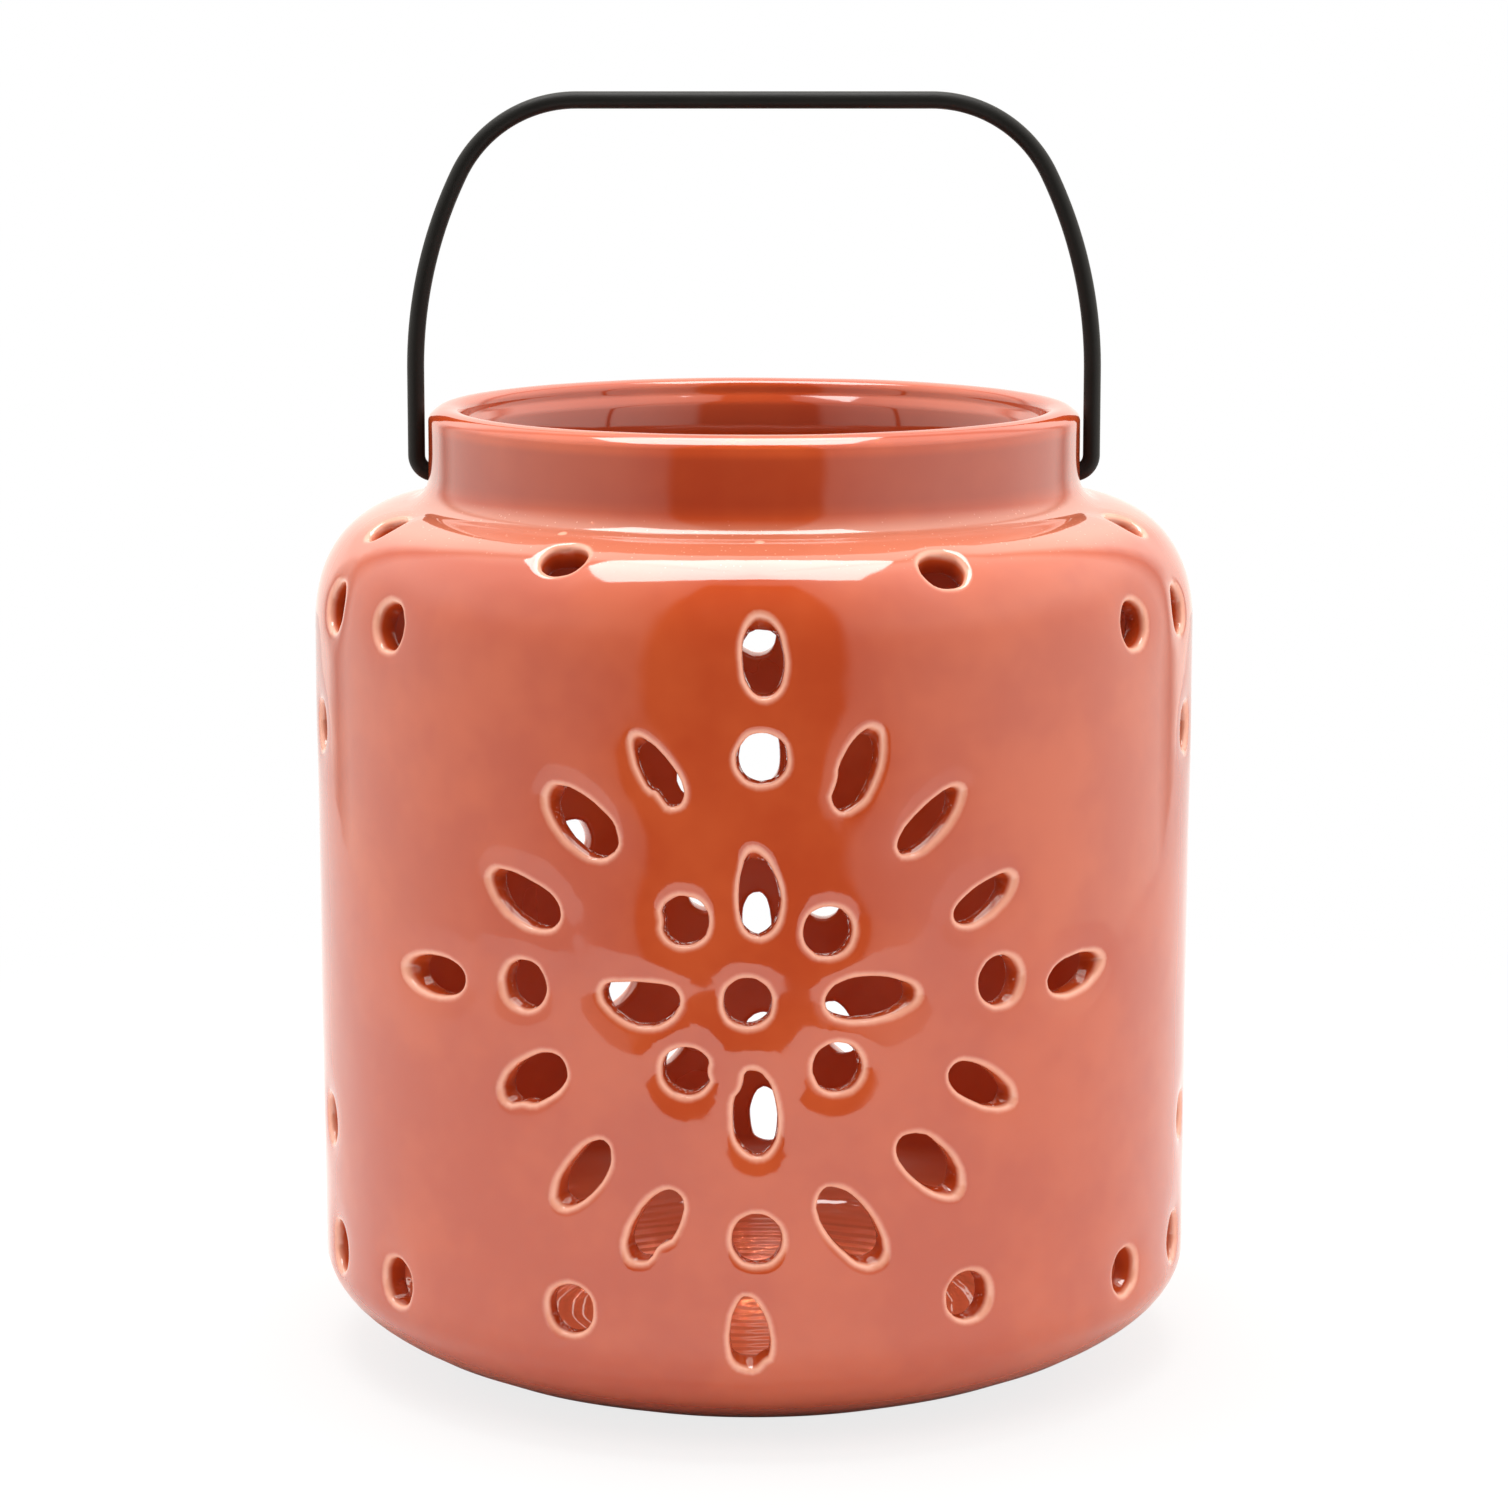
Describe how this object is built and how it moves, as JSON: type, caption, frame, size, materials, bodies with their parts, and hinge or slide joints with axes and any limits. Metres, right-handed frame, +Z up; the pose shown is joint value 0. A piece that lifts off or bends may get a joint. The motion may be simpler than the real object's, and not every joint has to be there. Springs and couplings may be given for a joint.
{
  "type": "ceramic lantern",
  "caption": "Pierced round ceramic candle lantern with a short open neck and a swinging wire bail handle.",
  "frame": {"origin": "middle of the ring that the pot stands on", "axes": "+Z up along the pot's axis; +X along the bail's pivot line, to the right as seen from the front; the medallion in the picture faces -Y"},
  "size_m": [0.2, 0.2, 0.2889],
  "materials": {
    "coral_glaze": "gloss",
    "black_wire": "satin"
  },
  "bodies": {
    "root": {"ceramic_body": "coral_glaze"},
    "bail": {"bail_handle": "black_wire"}
  },
  "joints": [
    {"name": "handle_swing", "type": "hinge", "parent": "root", "child": "bail", "pos_m": [0, 0, 0.2028], "axis": [1, 0, 0], "range_deg": [-93, 93]}
  ]
}
